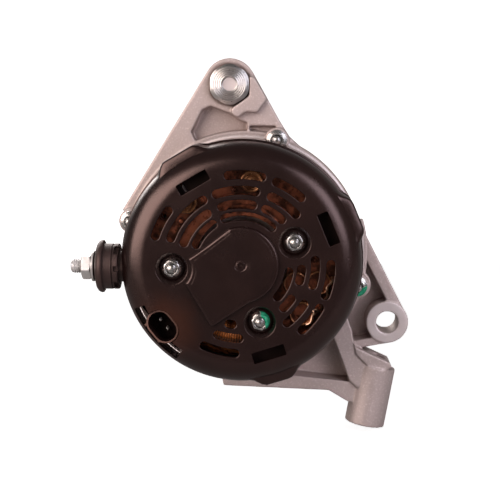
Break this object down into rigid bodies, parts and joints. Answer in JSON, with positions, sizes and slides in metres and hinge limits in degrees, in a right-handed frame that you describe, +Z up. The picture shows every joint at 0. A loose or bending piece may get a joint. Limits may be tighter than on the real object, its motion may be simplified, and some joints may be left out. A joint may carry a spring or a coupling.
{
  "type": "car alternator",
  "caption": "Claw-pole car alternator with a slotted rear cover, mounting ears, a slanted pivot barrel and a ribbed pulley.",
  "frame": {"origin": "centre of the shaft's front end face, on the rotor axis", "axes": "+Y along the rotor axis from the rear cover to the pulley and out of the shaft's end, +Z up towards the top ear, +X towards the right ear as seen from the rear"},
  "size_m": [0.1907, 0.153, 0.2193],
  "materials": {
    "cover_plastic": "moulded, satin",
    "cast_aluminium": "die cast, matt",
    "varnished_plate": "varnished",
    "zinc_steel": "bright zinc plated",
    "shaft_steel": "ground",
    "pulley_steel": "turned",
    "lamination_steel": "stacked sheet edges",
    "rotor_steel": "forged, dark",
    "copper_enamel": "enamelled copper",
    "slip_copper": "turned copper",
    "carbon": "pressed carbon",
    "insulator": "glass-filled moulding"
  },
  "bodies": {
    "housing": {"bearing_retainer": "zinc_steel", "brush_holder": "insulator", "brush_spring_1": "zinc_steel", "brush_spring_2": "zinc_steel", "captive_nut": "zinc_steel", "cover_nut_1": "zinc_steel", "cover_nut_2": "zinc_steel", "cover_nut_3": "zinc_steel", "cover_stud_1": "zinc_steel", "cover_stud_2": "zinc_steel", "cover_stud_3": "zinc_steel", "diode_1": "zinc_steel", "diode_2": "zinc_steel", "diode_3": "zinc_steel", "diode_4": "zinc_steel", "diode_5": "zinc_steel", "diode_6": "zinc_steel", "drive_end_frame": "cast_aluminium", "front_bearing_outer_ring": "shaft_steel", "rear_bearing_outer_ring": "shaft_steel", "rear_cover": "cover_plastic", "rear_end_frame": "cast_aluminium", "rectifier_plate_negative": "varnished_plate", "rectifier_plate_positive": "varnished_plate", "retainer_screw_1": "zinc_steel", "retainer_screw_2": "zinc_steel", "retainer_screw_3": "zinc_steel", "stator_core": "lamination_steel", "stator_winding": "copper_enamel", "terminal_insulator": "insulator", "terminal_nut": "zinc_steel", "terminal_stud": "zinc_steel", "terminal_washer": "zinc_steel", "through_bolt_1": "zinc_steel", "through_bolt_2": "zinc_steel", "through_bolt_3": "zinc_steel", "through_bolt_4": "zinc_steel", "through_bolt_nut_1": "zinc_steel", "through_bolt_nut_2": "zinc_steel", "through_bolt_nut_3": "zinc_steel", "through_bolt_nut_4": "zinc_steel", "voltage_regulator": "insulator"},
    "rotor": {"rotor_shaft": "shaft_steel", "claw_pole_front": "rotor_steel", "claw_pole_rear": "rotor_steel", "field_coil": "copper_enamel", "coil_bobbin": "insulator", "fan_front": "zinc_steel", "fan_rear": "zinc_steel", "slip_ring_sleeve": "insulator", "slip_ring_1": "slip_copper", "slip_ring_2": "slip_copper", "front_bearing_inner_ring": "shaft_steel", "rear_bearing_inner_ring": "shaft_steel", "pulley": "pulley_steel", "pulley_nut": "zinc_steel"},
    "front_cage": {"front_bearing_balls": "shaft_steel"},
    "rear_cage": {"rear_bearing_balls": "shaft_steel"},
    "brush_1_body": {"brush_1": "carbon"},
    "brush_2_body": {"brush_2": "carbon"}
  },
  "joints": [
    {"name": "rotor_spin", "type": "hinge", "parent": "housing", "child": "rotor", "pos_m": [0, 0, 0], "axis": [0, 1, 0], "continuous": true},
    {"name": "front_cage_spin", "type": "hinge", "parent": "housing", "child": "front_cage", "pos_m": [0, -0.051, 0], "axis": [0, 1, 0], "continuous": true},
    {"name": "rear_cage_spin", "type": "hinge", "parent": "housing", "child": "rear_cage", "pos_m": [0, -0.1185, 0], "axis": [0, 1, 0], "continuous": true},
    {"name": "brush_1_slide", "type": "slide", "parent": "housing", "child": "brush_1_body", "axis": [-0.7071, 0, -0.7071], "range_m": [0, 0.004], "stiffness_N_per_m": 120, "springref_m": -0.015, "deforming": ["brush_spring_1"]},
    {"name": "brush_2_slide", "type": "slide", "parent": "housing", "child": "brush_2_body", "axis": [-0.7071, 0, -0.7071], "range_m": [0, 0.004], "stiffness_N_per_m": 120, "springref_m": -0.015, "deforming": ["brush_spring_2"]}
  ],
  "couplings": [
    {"joint": "front_cage_spin", "follows": "rotor_spin", "ratio": 0.375},
    {"joint": "rear_cage_spin", "follows": "rotor_spin", "ratio": 0.392}
  ]
}
